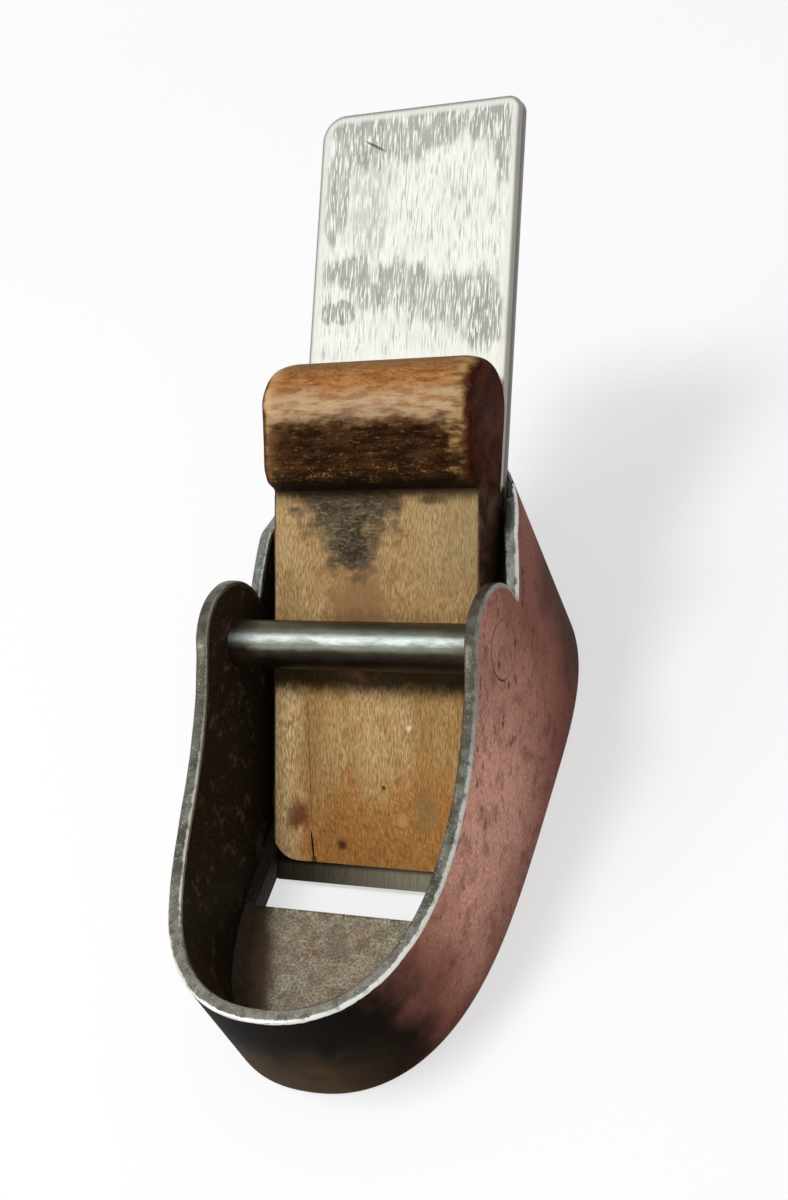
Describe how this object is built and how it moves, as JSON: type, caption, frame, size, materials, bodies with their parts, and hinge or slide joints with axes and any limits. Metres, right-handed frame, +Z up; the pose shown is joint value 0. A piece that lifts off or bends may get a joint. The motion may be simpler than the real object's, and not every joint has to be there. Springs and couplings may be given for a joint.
{
  "type": "luthier plane",
  "caption": "Small hand plane with a boat-shaped steel body, a cross pin, a wooden wedge with a rolled grip and a flat loose iron, for thinning and shaping violin parts.",
  "frame": {"origin": "on the ground under the middle of the box that holds the plane, with the sole resting on Z = 0", "axes": "+Y from the toe to the heel and the iron's free end, +X to the right seen from the toe's rear, +Z up"},
  "size_m": [0.0368, 0.1094, 0.0567],
  "materials": {
    "band_steel": "aged steel with a red-brown patina and a bright worn rim",
    "sole_steel": "dull pitted steel",
    "bed_wood": "dark oiled hardwood",
    "pin_steel": "dark steel, rubbed bright along the top",
    "iron_steel": "bright steel with lengthwise scratches and grey smudges",
    "wedge_wood": "worn honey-brown boxwood, dark at the grip"
  },
  "bodies": {
    "body": {"side_band": "band_steel", "sole": "sole_steel", "bed_block": "bed_wood", "cross_pin": "pin_steel"},
    "iron": {"iron": "iron_steel"},
    "wedge": {"wedge": "wedge_wood"}
  },
  "joints": [
    {"name": "iron_slide", "type": "slide", "parent": "body", "child": "iron", "axis": [0, 0.8251, 0.565], "range_m": [-0.0017, 0.07]},
    {"name": "wedge_slide", "type": "slide", "parent": "body", "child": "wedge", "axis": [0, 0.8251, 0.565], "range_m": [0, 0.1]}
  ]
}
